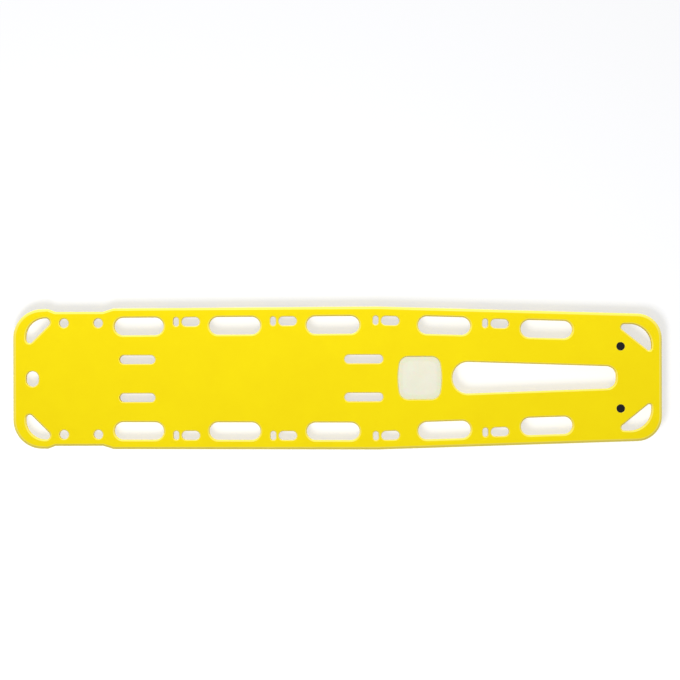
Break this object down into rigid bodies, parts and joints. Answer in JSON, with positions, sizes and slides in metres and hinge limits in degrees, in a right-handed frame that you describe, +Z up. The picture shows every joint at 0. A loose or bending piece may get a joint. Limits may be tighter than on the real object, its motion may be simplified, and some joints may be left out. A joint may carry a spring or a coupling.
{
  "type": "spine board",
  "caption": "Full-length rigid spine board for lifting a lying casualty, with handholds and strap slots along both sides and a raised belly underneath.",
  "frame": {"origin": "midway along and across the board, on the surface that it rests on", "axes": "+X towards the foot end, +Y towards the left side of a person lying face up, +Z up out of the deck"},
  "size_m": [1.84, 0.406, 0.047],
  "materials": {
    "skin": "satin",
    "foam": "matt",
    "window": "satin",
    "port_plug": "satin",
    "glass_fibre": "satin",
    "heel": "matt",
    "plug": "matt"
  },
  "bodies": {
    "root": {"board_shell": "skin", "foam_core": "foam", "window_panel": "window", "foam_port_plug": "port_plug", "stiffener_rod_left": "glass_fibre", "stiffener_rod_right": "glass_fibre", "heel_left": "heel", "heel_right": "heel", "heel_plug_left": "plug", "heel_plug_right": "plug", "strap_bar_left_1": "glass_fibre", "strap_bar_left_2": "glass_fibre", "strap_bar_left_3": "glass_fibre", "strap_bar_left_4": "glass_fibre", "strap_bar_right_1": "glass_fibre", "strap_bar_right_2": "glass_fibre", "strap_bar_right_3": "glass_fibre", "strap_bar_right_4": "glass_fibre"}
  },
  "joints": []
}
